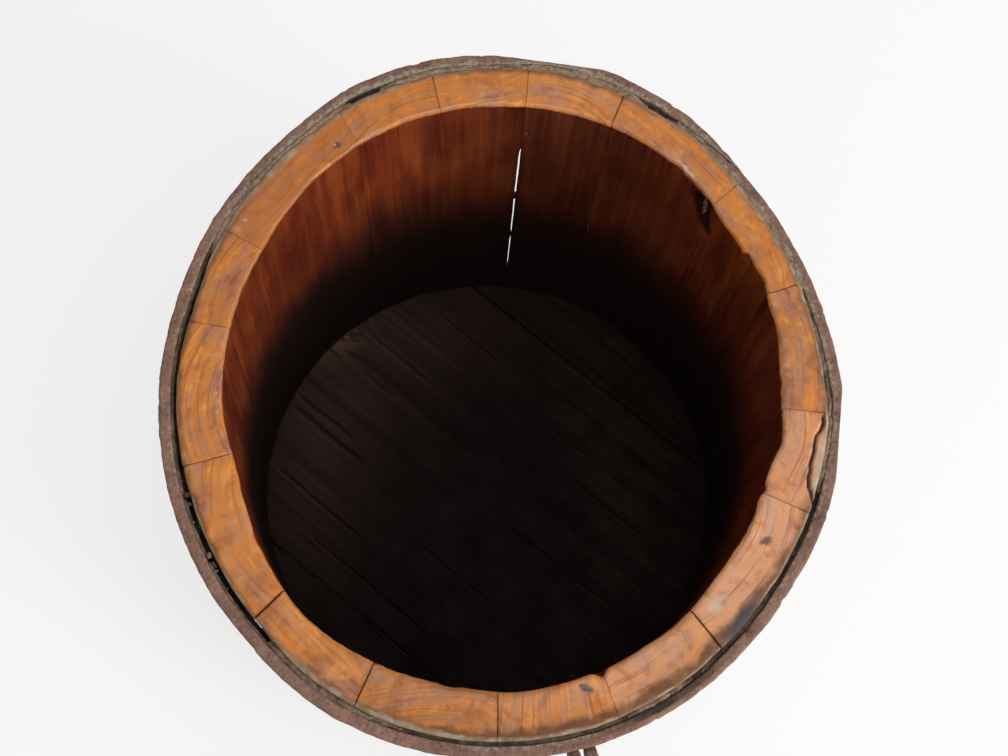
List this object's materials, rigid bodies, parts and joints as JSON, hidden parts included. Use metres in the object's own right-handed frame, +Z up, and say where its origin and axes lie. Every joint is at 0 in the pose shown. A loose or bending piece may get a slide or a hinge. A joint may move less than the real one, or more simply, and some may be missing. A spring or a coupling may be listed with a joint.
{
  "type": "coopered wooden bucket",
  "caption": "Old coopered wooden bucket with worn, varnished staves, a dark boarded floor and rusty riveted iron hoops, for carrying water, feed or kindling.",
  "frame": {"origin": "on the ground, under the middle of the floor; the box of the whole part is centred there to within 2.5 mm, because one eye stands out at the front", "axes": "+Z up out of the mouth, X across the narrow way of the oval mouth, Y along its long way; the eye is on the -Y side"},
  "size_m": [0.3027, 0.3258, 0.238],
  "materials": {
    "stave_wood": "old brown varnish, worn and dirty on the rim, dark red-brown inside",
    "floor_wood": "dark, stained and split along the grain",
    "dowel_wood": "bare, hidden between the floor boards",
    "hoop_iron": "wrought iron, rusted all over and pitted",
    "rivet_iron": "rusted, hammered heads",
    "eye_iron": "wrought iron, rusted, paler where dust lies on it"
  },
  "bodies": {
    "root": {"stave_01": "stave_wood", "stave_02": "stave_wood", "stave_03": "stave_wood", "stave_04": "stave_wood", "stave_05": "stave_wood", "stave_06": "stave_wood", "stave_07": "stave_wood", "stave_08": "stave_wood", "stave_09": "stave_wood", "stave_10": "stave_wood", "stave_11": "stave_wood", "stave_12": "stave_wood", "stave_13": "stave_wood", "stave_14": "stave_wood", "stave_15": "stave_wood", "stave_16": "stave_wood", "floor_front": "floor_wood", "floor_middle": "floor_wood", "floor_back": "floor_wood", "floor_dowels": "dowel_wood", "top_hoop": "hoop_iron", "middle_hoop": "hoop_iron", "bottom_hoop": "hoop_iron", "top_hoop_rivets": "rivet_iron", "middle_hoop_rivet": "rivet_iron", "bottom_hoop_rivets": "rivet_iron", "folded_eye": "eye_iron"}
  },
  "joints": []
}
